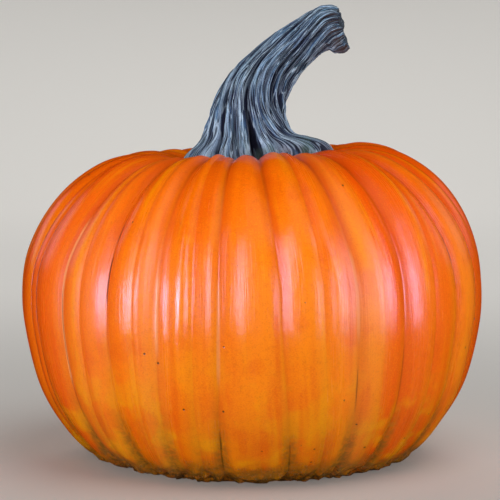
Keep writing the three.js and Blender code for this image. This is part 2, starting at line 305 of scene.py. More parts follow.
# %% Where each vertex lies between two creases
out, up, outward = row_out[row], row_up[row], row_outward[row]
start = [crease_direction(c, row_up) for c in CREASES]
ends = start[1:] + [start[0] + 360]
start, ends, i = np.array(start), np.array(ends), column_crease[column]
share = column_share[column]
direction = start[i, row] * (1 - share) + ends[i, row] * share
at_equator = np.array([c["at"] for c in CREASES] + [CREASES[0]["at"] + 360])
home = at_equator[i] * (1 - share) + at_equator[i + 1] * share
print(f"directions run from {direction.min():.0f} to {direction.max():.0f} degrees")

# %% The small relief on the ribs
#   height in mm, cells of noise round the fruit and along a rib, seed
RIPPLES = [(0.6, (34, 9), 3), (0.2, (150, 9), 5), (0.4, (64, 5), 6)]
SOIL_LUMPS = (2, (230, 80), 8)
SCAR_RIM, SCAR_RIM_AT, SCAR_RIM_WIDE = 0.9, 8.5, 2  # mm
SCAR_PIT, SCAR_PIT_WIDE = 1.2, 5


def drift(around, along, cells, seed):
    """Soft noise from -1 to 1. `around` and `along` run from 0 to 1, and `around` joins up."""
    grid = np.random.default_rng(seed).uniform(-1, 1, (cells[0], cells[1] + 2))
    x, y = (around % 1) * cells[0], np.clip(along, 0, 1) * cells[1]
    i, j = np.floor(x).astype(int), np.floor(y).astype(int)
    u, v = smoothstep(x - i, 0, 1), smoothstep(y - j, 0, 1)
    i, k = i % cells[0], (i + 1) % cells[0]
    here = grid[i, j] * (1 - u) + grid[k, j] * u
    beyond = grid[i, j + 1] * (1 - u) + grid[k, j + 1] * u
    return here * (1 - v) + beyond * v


around, up_share = home / 360, arc[row] / arc[-1]
relief = sum(rise * drift(around, up_share, cells, seed) for rise, cells, seed in RIPPLES)
lumps = SOIL_LUMPS[0] * drift(around, up_share, *SOIL_LUMPS[1:])
relief += lumps * (1 - smoothstep(up, 2, 13)) * smoothstep(out, 60, 95)
relief -= np.array([c.get("skew", 0) for c in CREASES])[i] * np.sin(2 * np.pi * share)
blossom_end = up < 60
scar_rim = SCAR_RIM * np.exp(-(((out - SCAR_RIM_AT) / SCAR_RIM_WIDE) ** 2)) * blossom_end
relief += scar_rim - SCAR_PIT * np.exp(-((out / SCAR_PIT_WIDE) ** 2)) * blossom_end
print(f"relief from {relief.min():.1f} to {relief.max():.1f} mm")

# %% Move the vertices into the ribs
LEFT_SLIMMER, LEFT_LOWER = 1.5, 5.5  # mm, at most, above the equator
RELIEF_FADE = (0, 12)  # mm from the axis

depth = pressed_in(direction, out, up) - relief * smoothstep(out, *RELIEF_FADE)
angle = np.radians(direction)
leftness = (1 - np.sin(angle)) / 2
slim = LEFT_SLIMMER * leftness * smoothstep(up, EQUATOR_HEIGHT, 165) * smoothstep(out, 60, 135)
pressed_up = up - outward[:, 1] * depth
drop = LEFT_LOWER * leftness * smoothstep(pressed_up, EQUATOR_HEIGHT, 200) * smoothstep(out, 0, 60)
away = np.where(out == 0, 0, np.maximum(out - outward[:, 0] * depth - slim, 0))
level_up = np.maximum(pressed_up - drop, 0)
place = np.stack([away * np.sin(angle), -away * np.cos(angle), level_up], 1)
fruit.data.vertices.foreach_set("co", (place * MM).astype(np.float32).ravel())
fruit.data.update()
resting = int((place[:, 2] < 0.01).sum())
print("fruit, mm:", np.round(np.ptp(place, axis=0), 1), "resting vertices:", resting)

# %% [markdown]
# ## What the rind's material will need
#
# Streaks, cracks and seams follow the creases, which a pattern in plain space can't do. So each
# vertex also keeps a few numbers that the material reads as attributes: how far it is from the
# nearest crease, how cracked or corky that crease is there, the tone of its rib, which side of
# the rib it is on, and a place in an unrolled rind, where lengths along a rib and across it are
# true at the equator.

# %% Attributes that follow the creases
# A crease's depth also sets how much painted shade it gets.
DEEP_CREASE = 3.8  # mm: such a crease gets its full colour, a shallower one less
FADE_OUTSIDE, FADE_INSIDE = 6, 8  # mm, beyond each end of a crack or seam and before it


def keep(mesh, name, values):
    """Keeps one number, or one vector, on every vertex for the material to read."""
    kind, slot = ("FLOAT", "value") if values.ndim == 1 else ("FLOAT_VECTOR", "vector")
    attribute = mesh.attributes.new(name, kind, "POINT")
    attribute.data.foreach_set(slot, values.astype(np.float32).ravel())


def strength(crease, name, up):
    """How strong a crease's crack or seam is at each height, fading out at both ends."""
    low, high, most = crease.get(name, (0, 1, 0))
    begun = smoothstep(up, low - FADE_OUTSIDE, low + FADE_INSIDE)
    return most * begun * (1 - smoothstep(up, high - FADE_INSIDE, high + FADE_OUTSIDE))


nearest = np.where(share < 0.5, i, (i + 1) % len(CREASES))
from_crease = np.radians(np.minimum(direction - start[i, row], ends[i, row] - direction)) * out
middles = (at_equator[:-1] + at_equator[1:]) / 2
for name in ("tone", "dull"):
    of_ribs = [c.get(name, 0) for c in CREASES]
    keep(fruit.data, name, np.interp(home, middles, of_ribs, period=360))
keep(fruit.data, "from_crease", from_crease)
crease_depth = np.array([c["depth"] for c in CREASES])[nearest]
keep(fruit.data, "crease_depth", crease_depth / DEEP_CREASE)
for name in ("crack", "seam"):
    table = np.array([strength(c, name, row_up) for c in CREASES])
    keep(fruit.data, name, table[nearest, row])
keep(fruit.data, "rib_side", share * 2 - 1)
unrolled = np.radians(home)
flow = [np.sin(unrolled) * EQUATOR_RADIUS, -np.cos(unrolled) * EQUATOR_RADIUS, arc[row]]
keep(fruit.data, "flow", np.stack(flow, 1) * MM)
fruit.data.attributes.remove(fruit.data.attributes["row"])
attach(fruit, "root")
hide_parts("fruit")
print("attributes:", [a.name for a in fruit.data.attributes if not a.name.startswith(".")])

# %% [markdown]
# ## The stem
#
# The stem is a bundle of corky ridges. They stand on the ribs with splayed feet, the ones on the
# right running together into one long foot that sweeps round to the front, then all of them twist
# as they rise and lean over to a cut knob. A curve with a bevel would give an even tube, so the
# stem is a spun tube instead, laid through a table of sections, and a table of ridges says where
# each one stands and where it runs above.

# %% The stem's sections and ridges
#   x, z: the middle, rise: degrees, radius, splay: how much of each foot shows, turn: degrees,
#   ridged: how much of the ridges' depth shows, swing: how much of each foot's own direction shows
STEM_SECTIONS = [
    (-3, 186, 90, 29, 1, 0, 1, 1), (-3, 198, 90, 29, 1, 0, 1, 1),
    (-3, 203, 90, 28.5, 0.93, -2, 1, 0.97), (-3, 206.5, 90, 28, 0.74, -4, 1, 0.9),
    (-3, 209.5, 90, 27.4, 0.45, -7, 1, 0.78), (-3, 213, 90, 26.8, 0.2, -10, 1, 0.6),
    (-3, 218, 90, 25.8, 0.08, -15, 1, 0.38), (-2.8, 224, 89, 24.7, 0.02, -20, 1, 0.17),
    (-1.9, 230, 86, 23.7, 0, -26, 1, 0.05), (0.2, 237, 80, 22.2, 0, -34, 1, 0),
    (3.4, 243.5, 71, 20.6, 0, -42, 1, 0), (8, 249.8, 62, 18.8, 0, -50, 1, 0),
    (14, 257, 54, 17, 0, -58, 1, 0), (21.4, 264.4, 49, 15.6, 0, -62, 0.9, 0),
    (29.2, 271.2, 42, 14.3, 0, -66, 0.8, 0), (37.2, 277, 36, 13.3, 0, -77, 0.7, 0),
    (44.5, 281, 30, 13.6, 0, -90, 0.55, 0), (51, 282.9, 22, 14.4, 0, -102, 0.45, 0),
    (59.6, 283.5, 15, 14.2, 0, -112, 0.4, 0),
]
#   at: direction above the feet, base: direction that its foot stands in, foot: how far the foot
#   reaches out, web: how far the skin before it does, valley: how deep the valley before it is
RIDGES = [
    dict(at=-150, base=-148, foot=9, web=2, valley=1),
    dict(at=-116, base=-116, foot=12, web=3, valley=0.5),
    dict(at=-84, base=-88, foot=11, web=4, valley=1),
    dict(at=-56, base=-66, foot=16, web=8, valley=0.5),
    dict(at=-30, base=-46, foot=15, web=9, valley=0.6),
    dict(at=-7, base=-21, foot=11, web=3, valley=1.2),
    dict(at=12, base=-5, foot=9, web=4, valley=0.3),
    dict(at=35, base=27, foot=4, web=-9, valley=1.5),
    dict(at=50, base=60, foot=21, web=10, valley=0.4),
    dict(at=62, base=82, foot=27, web=21, valley=0.35),
    dict(at=77, base=96, foot=20, web=20, valley=1.7),
    dict(at=105, base=113, foot=15, web=12, valley=1.4),
    dict(at=132, base=134, foot=9, web=5, valley=0.9),
    dict(at=157, base=157, foot=8, web=2, valley=0.5),
    dict(at=184, base=184, foot=13, web=1, valley=1.2),
]
MIDDLE_POINTS, STEM_ROWS = 3000, 236

sections, stem_arc = evenly(through(STEM_SECTIONS, MIDDLE_POINTS), STEM_ROWS)
print(f"stem: {len(RIDGES)} ridges, {stem_arc[-1]:.0f} mm along its middle")

# %% [markdown]
# The tube has a radius of 1 at first. Its first rows become the underside of the foot, most of
# them the sides, and the last few the cut end.

# %% Spin a tube for the stem
STEM_COLUMNS, FOOT_ROWS, CUT_ROWS, TUBE_HEIGHT = 375, 8, 18, 6

tube = [(share, 0) for share in np.linspace(0, 1, FOOT_ROWS, endpoint=False)]
tube += [(1, height) for height in np.linspace(0, TUBE_HEIGHT, STEM_ROWS)]
tube += [(share, TUBE_HEIGHT) for share in np.linspace(1, 0, CUT_ROWS + 1)[1:]]
stem = as_piece(spun(tube, STEM_COLUMNS), "pumpkin_stem")
row, column = rows_and_columns(stem.data, STEM_COLUMNS)
reach = np.array([share for share, _ in tube])[row]
level = np.clip(row - FOOT_ROWS, 0, STEM_ROWS - 1)
x, z, rise, radius, splay, turn, ridged, swing = sections[level].T
print(f"tube: {len(stem.data.vertices)} vertices, {2 * STEM_COLUMNS * (len(tube) - 2)} triangles")

# %% [markdown]
# The tube's columns are shared out over the ridges. Each ridge rises between two valleys, and its
# foot reaches out where the stem splays. It could be carved from a smooth tube, but this way each
# ridge, its foot and the valleys beside it stay one form from the ribs to the cut.

# %% Share the columns out over the ridges
VALLEY_SHARPNESS, FOOT_SHARPNESS = 1.6, 1.8  # more makes the valleys and the feet narrower

position = column / STEM_COLUMNS * len(RIDGES)
k = np.floor(position).astype(int)
share = position - k


def at_valleys(name):
    """A direction halfway from each ridge to the one before, with the first again at the end."""
    ridges = np.array([r[name] for r in RIDGES], float)
    valleys = (ridges + np.concatenate([[ridges[-1] - 360], ridges[:-1]])) / 2
    return np.append(valleys, valleys[0] + 360)


def between_valleys(values):
    """Runs from the value at the valley before each column to the one at the valley after it."""
    return values[k] * (1 - share) + values[k + 1] * share


def looped(name):
    """One value of every ridge, with the first again at the end."""
    return np.array([r[name] for r in RIDGES] + [RIDGES[0][name]], float)


stem_home = between_valleys(at_valleys("at"))
swung = (between_valleys(at_valleys("base")) - stem_home) * swing
stem_direction = np.radians(stem_home + swung + turn)
top = np.sin(np.pi * share)
webbing = between_valleys(looped("web"))
toe = webbing + (looped("foot")[k] - webbing) * top**FOOT_SHARPNESS
valley = between_valleys(looped("valley"))
ridge_height = top ** (1 / VALLEY_SHARPNESS)
print("valleys above the feet, degrees:", np.round(at_valleys("at")[:-1], 1))

# %% [markdown]
# Strands of seeded noise run up the ridges. They are long and thin, so their noise has many cells
# round the stem and few along it, and folding it at zero gives each strand a crisp back.

# %% Strands, and how far the stem reaches out
RIDGE_DEPTH = 0.18  # this and the next three are shares of the stem's radius
CORD_RISE, FIBRE_RISE, KNOT_RISE = 0.05, 0.028, 0.02
WANDER = 0.012  # share of a turn that the strands stray sideways

around, up_share = stem_home / 360, level / STEM_ROWS
strayed = around + WANDER * drift(around, up_share, (9, 7), 4)
cords = 1 - 2 * np.abs(drift(strayed, up_share, (52, 5), 21))
fibres = 1 - 2 * np.abs(drift(strayed, up_share, (112, 6), 22))
knots = drift(around, up_share, (14, 11), 23)
strand = CORD_RISE * cords + FIBRE_RISE * fibres + KNOT_RISE * knots
grooved = RIDGE_DEPTH * ridged * valley * (1 - ridge_height)
across = radius * (1 - grooved + strand) + np.where(toe > 0, splay, swing) * toe
print(f"the stem reaches out {across.min():.0f} to {across.max():.0f} mm")

# %% [markdown]
# The stem was cut with a knife and broke at its edge, so the knob has a lip underneath, a rounded
# and torn rim, and a slanted, rough and slightly sunken cut. The same tube makes all of it, since
# its last rows only have to be pushed out or in.

# %% The cut knob
LIP, LIP_ENDS = 3, (14, 17)  # mm, and mm from the cut
RIM_OVER, RIM_ROUNDING, RIM_TEARS, RIM_JAGS = 5, 0.1, 0.05, 1.2  # mm, shares of the radius, mm
CUT_DISH, CUT_SLANT, CUT_ROUGH, KNOB_RADIUS = 2, 1.5, 0.5, 14  # mm

to_go = stem_arc[-1] - stem_arc[level]
under = smoothstep(np.sin(stem_direction), 0.45, 0.95)
lip_height = LIP * under * (1 - smoothstep(to_go, *LIP_ENDS))
across += lip_height * (0.75 + 0.25 * smoothstep(to_go, 0, 6))
torn = 1 - smoothstep(to_go, 0, RIM_OVER)
tears = RIM_TEARS * torn * drift(around, up_share, (23, 40), 24)
across *= (1 - RIM_ROUNDING * torn**2 + tears) * reach
right, front = across * np.sin(stem_direction), across * np.cos(stem_direction)
past = row >= FOOT_ROWS + STEM_ROWS
sunk = past * (CUT_DISH * (1 - reach**2) + CUT_ROUGH * drift(around * 3, reach, (40, 9), 25))
sunk += CUT_SLANT * front / KNOB_RADIUS * (1 - smoothstep(to_go, 0, 22))
sunk += torn * RIM_JAGS * drift(around, up_share * 0, (27, 1), 26)
print(f"the cut is sunk by up to {sunk.max():.1f} mm")

# %% Lay the tube through the sections
BASE_TILT = 0.09  # the foot stands higher on the right, as the fruit's shoulder does

tilt = BASE_TILT * right * np.minimum(splay * 2, 1)
angle = np.radians(rise)
place = np.stack([x + right * np.sin(angle), -front, z - right * np.cos(angle) + tilt], 1)
place -= sunk[:, None] * np.stack([np.cos(angle), 0 * angle, np.sin(angle)], 1)
print("stem, mm:", np.round(place.min(0), 1), np.round(place.max(0), 1))

# %% [markdown]
# The feet stand on the ribs, so no part of the stem may hang below them. A ray straight down from
# above each vertex finds the rind, and a vertex that would be inside the fruit is lifted to just
# under its surface.

# %% Stand the stem on the ribs
FEET_BELOW, FEET_SINK, RAYS_FROM = 216, 0.8, 400  # mm

ground = BVHTree.FromObject(fruit, bpy.context.evaluated_depsgraph_get())
low = np.flatnonzero(place[:, 2] < FEET_BELOW)
for v in low:
    above = Vector((place[v, 0] * MM, place[v, 1] * MM, RAYS_FROM * MM))
    hit = ground.ray_cast(above, Vector((0, 0, -1)))[0]
    if hit:
        place[v, 2] = max(place[v, 2], hit.z / MM - FEET_SINK)
stem.data.vertices.foreach_set("co", (place * MM).astype(np.float32).ravel())
stem.data.update()
print(f"{len(low)} vertices were set against the ribs")

# %% [markdown]
# The stem's vertices keep numbers for its material as well: how high each one stands on its
# ridge, the strands of noise that shaped it, where the feet spread, how far up the stem it is,
# and an unrolled place.

# %% Attributes that follow the ridges
FEET_SPREAD = (25, 36)  # mm from the stem's middle
UNROLLED_RADIUS = 24  # mm: about the stem's own above its feet
CUT_FROM = FOOT_ROWS + STEM_ROWS

# How deep each vertex lies in a valley or in the skin between the feet: the material paints shade
# there.
hollow = valley * (1 - ridge_height) + 0.09 * swing * np.maximum(-toe, 0)
keep(stem.data, "ridge_height", np.clip(1 - 0.9 * hollow + 1.5 * strand - 0.1, 0, 1))
keep(stem.data, "cords", cords)
keep(stem.data, "fibres", fibres)
keep(stem.data, "spread", smoothstep(across, *FEET_SPREAD) * (level < STEM_ROWS / 2))
keep(stem.data, "cut_end", smoothstep(row, CUT_FROM - 2, CUT_FROM + 1))
keep(stem.data, "up_stem", up_share)
unrolled = np.radians(stem_home)
flow = [np.sin(unrolled), -np.cos(unrolled)]
flow = [line * UNROLLED_RADIUS * reach for line in flow] + [stem_arc[level]]
keep(stem.data, "flow", np.stack(flow, 1) * MM)
stem.data.attributes.remove(stem.data.attributes["row"])
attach(stem, "root")
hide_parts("stem")
print("attributes:", [a.name for a in stem.data.attributes if not a.name.startswith(".")])

# %% [markdown]
# ## Materials
#
# Colours are written as the hex values that a screen shows, and one function turns them into the
# linear values that Blender's shaders work in. One small function adds a node with its settings
# and its links.

# %% Helpers for materials


def linear(shade):
    """An sRGB hex colour as linear red, green, blue and alpha."""
    parts = [int(shade[k : k + 2], 16) / 255 for k in (1, 3, 5)]
    return [c / 12.92 if c <= 0.04045 else ((c + 0.055) / 1.055) ** 2.4 for c in parts] + [1]


def feed(tree, value, socket):
    """Gives a socket a plain value, or a link from a node or from one of its outputs."""
    if isinstance(value, bpy.types.Node):
        value = next(s for s in value.outputs if s.enabled)
    if isinstance(value, bpy.types.NodeSocket):
        tree.links.new(value, socket)
    else:
        socket.default_value = value


def add(tree, kind, inputs=(), stops=(), **settings):
    """Adds a shader node with its settings, and feeds its inputs, in order or by identifier."""
    node = tree.nodes.new("ShaderNode" + kind)
    for name, value in settings.items():
        setattr(node, name, value)
    sockets = {s.identifier: s for s in node.inputs}
    named = inputs if isinstance(inputs, dict) else dict(zip(sockets, inputs))
    for name, value in named.items():
        feed(tree, value, sockets[name])
    for k, (at, shade) in enumerate(stops):
        step = node.color_ramp.elements[k] if k < 2 else node.color_ramp.elements.new(at)
        step.position, step.color = at, linear(shade)
    return node


def new_material(name):
    """A material with its node tree, and its Principled shader linked to the output."""
    material = bpy.data.materials.new(name)
    material.use_nodes = True
    tree = material.node_tree
    tree.nodes.clear()
    shader = add(tree, "BsdfPrincipled")
    add(tree, "OutputMaterial", [shader.outputs["BSDF"]])
    return material, tree, shader


print("linear orange:", [round(c, 3) for c in linear("#f27a14")])

# %% [markdown]
# ### Waxy pumpkin rind
#
# A ripe rind is grown, not made: a hard orange skin under a thin natural wax. The wax gives soft,
# upright highlights (IOR about 1.45, roughness about a quarter), and light goes a few millimetres
# into the flesh. It could be painted as a picture, but patterns made of nodes are as sharp from
# close by, and fit any shape. The colour is redder at the shoulder and browner at the foot, partly
# from the soil it lay on and partly as painted shade, and it runs in streaks a few millimetres
# wide along the ribs. Those streaks read the unrolled rind, so they follow every lean.

# %% Rind: where the patterns lie
rind, tree, shader = new_material("waxy_pumpkin_rind")
here = add(tree, "TexCoord").outputs["Object"]
height = add(tree, "SeparateXYZ", [here]).outputs["Z"]
flow = add(tree, "Attribute", attribute_name="flow").outputs["Vector"]
value = {
    name: add(tree, "Attribute", attribute_name=name).outputs["Fac"]
    for name in ("from_crease", "crease_depth", "crack", "seam", "tone", "dull", "rib_side")
}
value["height"] = height


def streaks(tree, flow, across_mm, along_mm, detail):
    """Noise in patches of this many mm across and along the flow."""
    scale = (1 / (across_mm * MM), 1 / (across_mm * MM), 1 / (along_mm * MM))
    mapped = add(tree, "Mapping", {"Vector": flow, "Scale": scale})
    return add(tree, "TexNoise", {"Vector": mapped, "Scale": 1, "Detail": detail})


for name, *sizes in (("broad", 9, 110, 2), ("fine", 2.4, 70, 3), ("scuff", 1, 26, 2)):
    value[name] = streaks(tree, flow, *sizes)
# The skin's pores are a tenth of a millimetre across, and grain is ten times coarser to show.
for name, size_mm in (("grain", 0.9), ("mottle", 3), ("patches", 24)):
    inputs = {"Vector": here, "Scale": 1 / (size_mm * MM), "Detail": 3}
    value[name] = add(tree, "TexNoise", inputs)
# The soil and the painted shade at the foot reach higher in some places: the height, with up to
# 42 mm of the noises added.
ragged = height
for name, more_mm in (("patches", 30), ("mottle", 12)):
    ragged = add(tree, "Math", [value[name], more_mm * MM, ragged], operation="MULTIPLY_ADD")
value["ragged"] = ragged
PITS_APART = 8  # mm
pits = add(tree, "TexVoronoi", {"Vector": here, "Scale": 1 / (PITS_APART * MM)})
value["from_pit"] = pits.outputs["Distance"]
value["which_pit"] = add(tree, "SeparateColor", [pits.outputs["Color"]]).outputs["Red"]
print("values:", list(value))

# %% [markdown]
# Each mark on the rind is a mask from 0 to 1. First come soft steps of the values above. Then
# pairs of masks are multiplied or added, such as a crack, which is both close to a crease and in
# a cracked stretch of it.

# %% Rind: soft steps of the values
#   name: what it reads, the value that gives 0, the value that gives 1
SOFT_STEPS = {
    "red_rib": ("tone", 0, -1), "yellow_rib": ("tone", 0, 0.9), "left_side": ("rib_side", 0, -1),
    "right_side": ("rib_side", 0.1, 1), "red_streak": ("broad", 0.52, 0.72),
    "yellow_streak": ("broad", 0.46, 0.28), "dark_line": ("fine", 0.55, 0.75),
    "pale_line": ("fine", 0.42, 0.25), "brown_grain": ("grain", 0.5, 0.7),
    "pale_grain": ("grain", 0.5, 0.3), "blotch": ("mottle", 0.5, 0.75),
    "by_crease": ("from_crease", 8, 1), "in_crease": ("from_crease", 1.8, 0.3),
    "on_crack": ("from_crease", 0.65, 0.25), "on_seam": ("from_crease", 1.5, 0.6),
    "broken": ("scuff", 0.38, 0.5), "near_foot": ("ragged", 78 * MM, 36 * MM),
    "at_foot": ("ragged", 38 * MM, 28 * MM), "foot_edge": ("ragged", 29 * MM, 24 * MM),
    "low_half": ("height", 100 * MM, 20 * MM), "shoulder": ("height", 150 * MM, 205 * MM),
    "upper_half": ("height", 80 * MM, 165 * MM), "yellow_patch": ("patches", 0.5, 0.62),
    "red_patch": ("patches", 0.46, 0.36), "soiled": ("mottle", 0.4, 0.6),
    "crumbs": ("grain", 0.6, 0.68), "pit": ("from_pit", 0.12, 0.06),
}


def soft_masks(tree, value, steps):
    """The values, with a mask added for each soft step."""
    masks = dict(value)
    for name, (source, nothing, full) in steps.items():
        inputs = {"Value": value[source], "From Min": nothing, "From Max": full}
        step = add(tree, "MapRange", inputs, interpolation_type="SMOOTHSTEP")
        masks[name] = step.outputs["Result"]
    return masks


masks = soft_masks(tree, value, SOFT_STEPS)
print(len(SOFT_STEPS), "soft steps")

# %% Rind: pairs of masks
#   name: operation, masks or numbers
PAIRS = {
    "pitted": ("MULTIPLY_ADD", "near_foot", 0.35, "which_pit"),
    "chosen_pit": ("GREATER_THAN", "pitted", 0.9), "speck": ("MULTIPLY", "pit", "chosen_pit"),
    # painted shade beside and in the creases, strongest on the upper half and at the shoulder
    "shade_by_deep_crease": ("MULTIPLY", "by_crease", "crease_depth"),
    "shade_in_deep_crease": ("MULTIPLY", "in_crease", "crease_depth"),
    "upper_crease_shade": ("MULTIPLY", "shade_by_deep_crease", "upper_half"),
    "crack_here": ("MULTIPLY", "on_crack", "crack"),
    "crack_line": ("MULTIPLY", "crack_here", "broken"),
    "seam_line": ("MULTIPLY", "on_seam", "seam"),
    "shoulder_crease_shade": ("MULTIPLY", "shade_in_deep_crease", "shoulder"),
    # the foot's creases are painted shade; the stain, soil and dark edge at the foot are partly
    # soil, partly painted shade
    "foot_crease_shade": ("MULTIPLY", "near_foot", "shade_by_deep_crease"),
    "foot_stain_and_shade": ("ADD", "foot_crease_shade", "at_foot"), "soil_and_shade": ("MULTIPLY", "foot_stain_and_shade", "soiled"),
    "crumb": ("MULTIPLY", "at_foot", "crumbs"), "foot_edge_soil_and_shade": ("MULTIPLY", "foot_edge", "soiled"),
    "low_red": ("MULTIPLY", "low_half", "left_side"),
    "low_yellow": ("MULTIPLY", "low_half", "right_side"),
    "low_patch": ("MULTIPLY", "low_half", "yellow_patch"),
}


def pair_up(tree, masks, pairs):
    """Adds the masks that are made of others."""
    for name, (operation, *parts) in pairs.items():
        inputs = [masks.get(part, part) for part in parts]
        clamped = operation != "MULTIPLY_ADD"
        masks[name] = add(tree, "Math", inputs, operation=operation, use_clamp=clamped)


pair_up(tree, masks, PAIRS)
print(len(PAIRS), "pairs:", ", ".join(PAIRS))

# %% [markdown]
# A rind's colour is many things over one another: a ground that turns redder towards the
# shoulder, then each rib's tone, streaks, mottling, painted shade in the creases and, last, the
# soil with painted shade at the foot. So each is a layer that shows through its mask.

# %% Rind: colours, one layer over the other
RIB_TOP = 207  # mm, where the ground colour reaches its last stop
# The ground darkens towards the foot, partly with the soil's colour and partly as painted shade.
#   share of that height, colour
GROUND = [
    (0, "#b86400"), (0.1, "#ea8000"), (0.3, "#fa8400"), (0.55, "#fa8000"), (0.75, "#fa7a00"),
    (0.9, "#fb7000"), (1, "#f66200"),
]
up_rib = add(tree, "MapRange", {"Value": height, "From Max": RIB_TOP * MM})
colour = add(tree, "ValToRGB", [up_rib], stops=GROUND)
#   mask, how much of it shows, colour
LAYERS = [
    ("red_rib", 0.75, "#ea3c00"), ("yellow_rib", 0.5, "#ee8e00"), ("left_side", 0.3, "#ea5200"),
    ("right_side", 0.3, "#f08800"), ("low_red", 0.2, "#e66400"), ("low_yellow", 0.4, "#e08a00"),
    ("low_patch", 0.7, "#f4a400"), ("red_patch", 0.35, "#e65a00"), ("red_streak", 0.5, "#e44e00"),
    ("yellow_streak", 0.5, "#fa9600"), ("dark_line", 0.1, "#d85000"),
    ("pale_line", 0.1, "#fa9600"), ("blotch", 0.3, "#d86000"), ("brown_grain", 0.25, "#c85600"),
    # the crease layers from here on are painted shade
    ("pale_grain", 0.3, "#ff9a00"), ("shade_by_deep_crease", 0.2, "#cc5c00"),
    ("upper_crease_shade", 0.4, "#d43800"), ("shade_in_deep_crease", 0.15, "#983a00"),
    ("shoulder_crease_shade", 0.3, "#a03600"), ("seam_line", 0.8, "#f2a060"),
    # the stain, soil and dark edge at the foot are partly soil and partly painted shade
    ("crack_line", 0.9, "#3c2008"), ("foot_stain_and_shade", 0.6, "#a06a00"), ("soil_and_shade", 0.6, "#6a5000"),
    ("foot_edge_soil_and_shade", 0.75, "#4c3404"), ("crumb", 0.6, "#d8b478"), ("speck", 0.9, "#4a2a08"),
]


def layered(tree, colour, masks, layers):
    """A ground colour with others laid over it, each as far as its mask lets it show."""
    for name, most, shade in layers:
        factor = add(tree, "Math", [masks[name], most], operation="MULTIPLY")
        inputs = {"Factor_Float": factor, "A_Color": colour, "B_Color": linear(shade)}
        colour = add(tree, "Mix", inputs, data_type="RGBA")
    return colour


feed(tree, layered(tree, colour, masks, LAYERS), shader.inputs["Base Color"])
print(len(LAYERS), "layers of colour")

# %% [markdown]
# Wax is clear, so only its gloss is set here: duller where it is rubbed or soiled. The flesh lets
# a little light in, red furthest. What is finer than the mesh, such as crumbs of soil, is bump.

# %% Rind: wax, flesh and relief
shader.inputs["IOR"].default_value = 1.45
shader.inputs["Specular IOR Level"].default_value = 1
shader.inputs["Subsurface Weight"].default_value = 0.06
shader.inputs["Subsurface Radius"].default_value = (1, 0.35, 0.1)
shader.inputs["Subsurface Scale"].default_value = 3 * MM
shader.inputs["Specular Tint"].default_value = (0.85, 0.7, 1, 1)  # highlights stay cool on orange
rough = 0.15  # clean wax, before what is added to it
for name, more in (("scuff", 0.14), ("dull", 0.18), ("soil_and_shade", 0.12), ("foot_stain_and_shade", 0.05)):
    inputs = [masks[name], more, rough]
    rough = add(tree, "Math", inputs, operation="MULTIPLY_ADD", use_clamp=True)
feed(tree, rough, shader.inputs["Roughness"])

#   what the relief is made of, how far it rises: mm
RELIEF = [
    ("patches", 0.5), ("mottle", 0.06), ("fine", 0.14), ("scuff", 0.12), ("grain", 0.04),
    ("speck", -0.15), ("crack_line", -0.4), ("crumb", 0.3),
]


def raised(tree, masks, rises):
    """A bump that rises where its masks do."""
    up_mm = 0.0
    for name, rise_mm in rises:
        up_mm = add(tree, "Math", [masks[name], rise_mm, up_mm], operation="MULTIPLY_ADD")
    return add(tree, "Bump", {"Height": up_mm, "Distance": MM, "Strength": 1})


feed(tree, raised(tree, masks, RELIEF), shader.inputs["Normal"])
fruit.data.materials.append(rind)
print("rind:", len(tree.nodes), "nodes")

# %% [markdown]
# ### Dry corky stem
#
# The stem is dried cork and fibre, weathered to a slate blue-grey: matte (roughness about 0.8),
# pale where its strands are rubbed and nearly black between them, which is partly its own colour
# and partly painted shade. The strands are one to three millimetres wide and a few centimetres
# long, with finer hairs on the feet. The cut end is grey pith, and the knob's underside is painted
# shade, brown as with orange light thrown back from the fruit. Noise stretched along the unrolled
# stem makes the strands, so they twist with the ridges.

# %% Stem: where the strands lie
cork, tree, shader = new_material("dry_corky_stem")
here = add(tree, "TexCoord").outputs["Object"]
flow = add(tree, "Attribute", attribute_name="flow").outputs["Vector"]
value = {
    name: add(tree, "Attribute", attribute_name=name).outputs["Fac"]
    for name in ("ridge_height", "cords", "fibres", "spread", "cut_end", "up_stem")
}
# Folding a noise at its middle value gives thin, crisp lines: the edges of single strands.
STRANDS = [("strand", 2.2, 60), ("gap", 2.6, 70), ("thread", 1.3, 28), ("hair", 0.45, 18)]
for name, across_mm, along_mm in STRANDS:
    noise = streaks(tree, flow, across_mm, along_mm, 1)
    centred = add(tree, "Math", [noise, 0.5], operation="SUBTRACT")
    value[name] = add(tree, "Math", [centred], operation="ABSOLUTE")
for name, size_mm in (("grain", 1.3), ("weather", 14)):
    inputs = {"Vector": here, "Scale": 1 / (size_mm * MM), "Detail": 3}
    value[name] = add(tree, "TexNoise", inputs)
facing = add(tree, "SeparateXYZ", [add(tree, "NewGeometry").outputs["Normal"]])
value["facing_up"] = facing.outputs["Z"]
print("values:", list(value))

# %% Stem: masks
#   name: what it reads, the value that gives 0, the value that gives 1
SOFT_STEPS = {
    # dark between the fibres and cords and in the valleys: painted shade
    "pale_fibre": ("fibres", 0.45, 0.85), "between_fibres_shade": ("fibres", 0.4, 0),
    "pale_strand": ("strand", 0.045, 0.02), "dark_gap": ("gap", 0.05, 0.025),
    "pale_thread": ("thread", 0.04, 0.015), "pale_hair": ("hair", 0.06, 0.02),
    "dark_hair": ("hair", 0.1, 0.18), "weathered": ("weather", 0.48, 0.66),
    "dusty": ("weather", 0.45, 0.3), "near_feet": ("up_stem", 0.22, 0.06),
    "at_knob": ("up_stem", 0.86, 0.96), "underneath": ("facing_up", 0.1, -0.4),
    "pale_pith": ("grain", 0.45, 0.65), "spotted": ("grain", 0.55, 0.7),
    "between_cords_shade": ("cords", 0.4, -0.1), "valley_shade": ("ridge_height", 0.88, 0.5),
}
